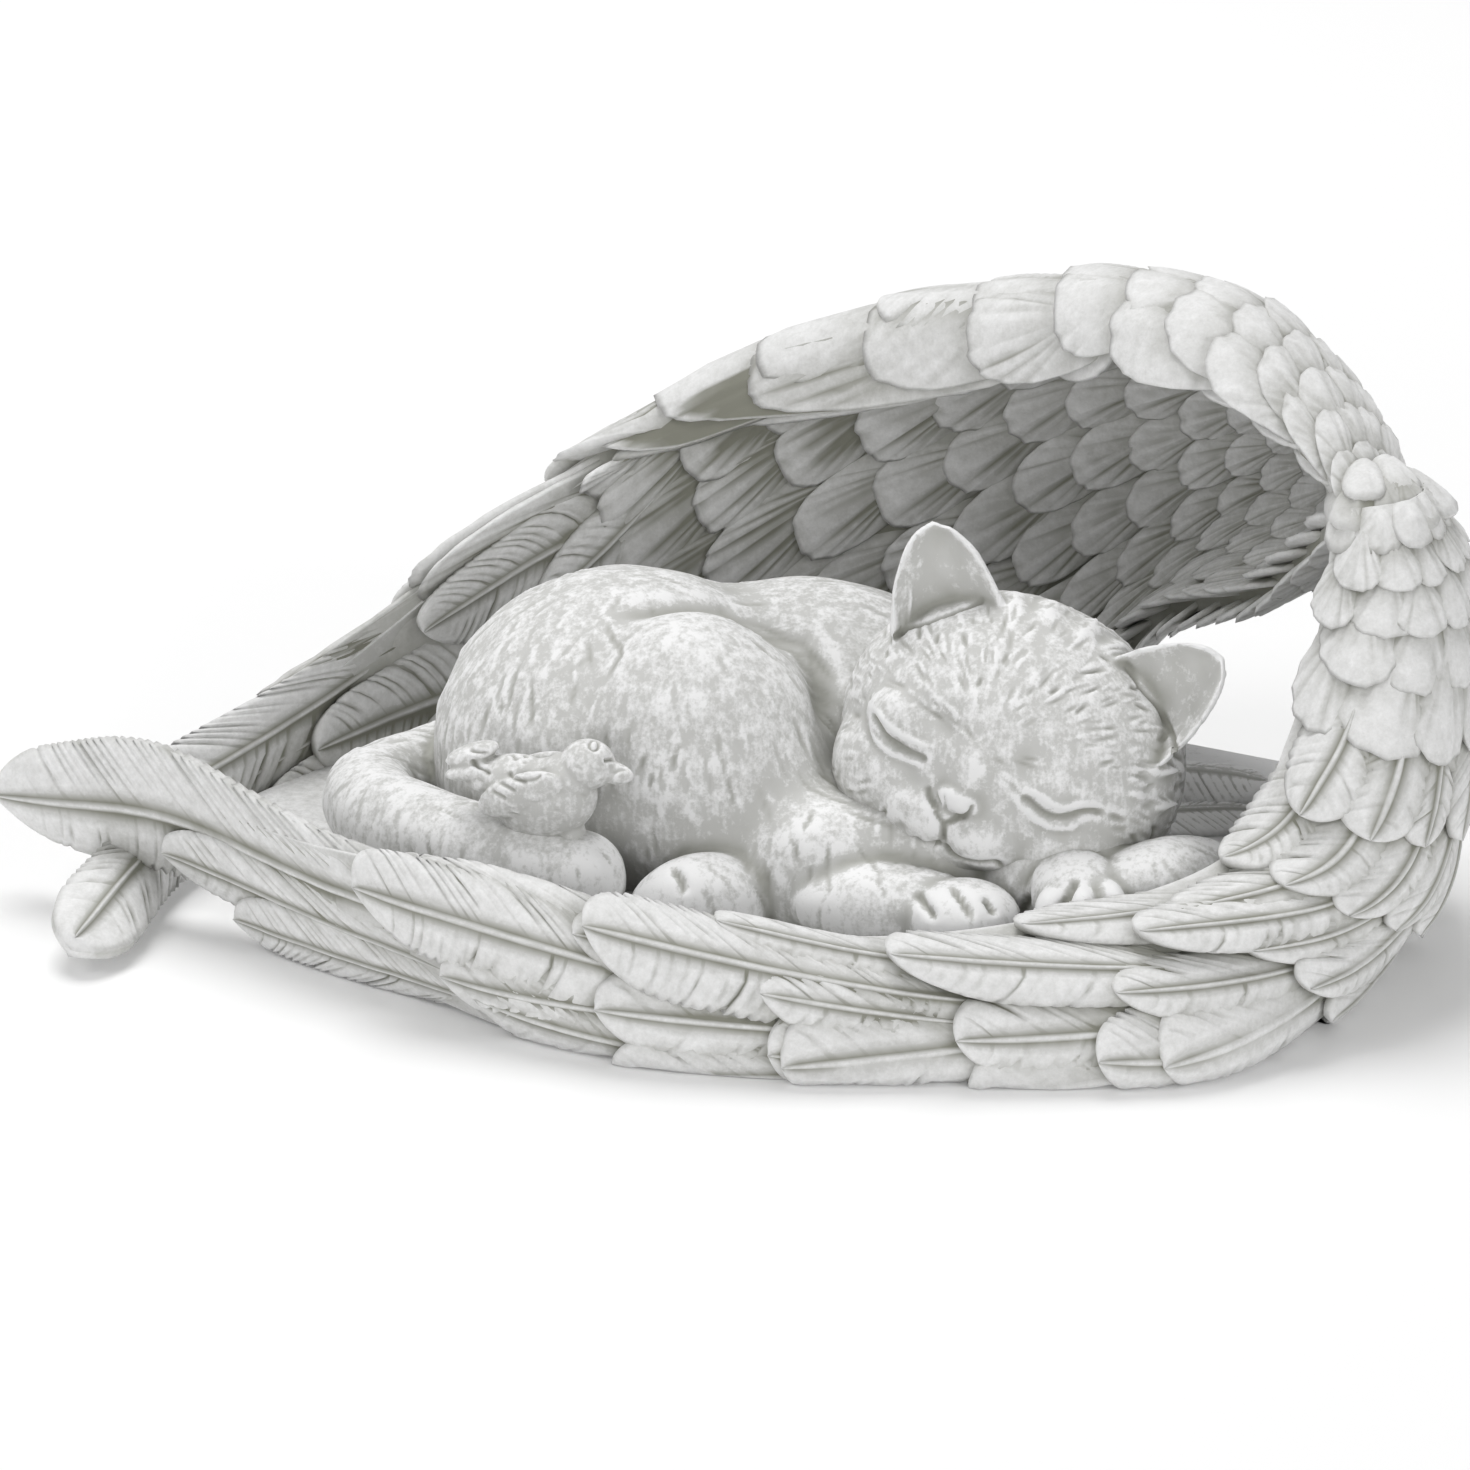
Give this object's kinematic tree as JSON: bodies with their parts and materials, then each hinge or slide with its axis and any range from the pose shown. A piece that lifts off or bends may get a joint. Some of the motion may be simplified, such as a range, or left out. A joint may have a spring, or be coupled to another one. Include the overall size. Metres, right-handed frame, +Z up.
{
  "type": "pet memorial statue",
  "caption": "Cast white stone resin statue of a cat asleep in a nest of two feathered wings, with a small bird perched on its tail.",
  "frame": {"origin": "middle of the flat underside, which is also the bottom centre of the bounding box", "axes": "+X along the length towards the wings' wrists, -Y out of the front where the cat's face looks, +Z up"},
  "size_m": [0.272, 0.1632, 0.1133],
  "materials": {
    "stone_resin": "matte cast resin, greyish in the carving and dry-brushed white on the raised edges"
  },
  "bodies": {
    "root": {"memorial_statue": "stone_resin"}
  },
  "joints": []
}
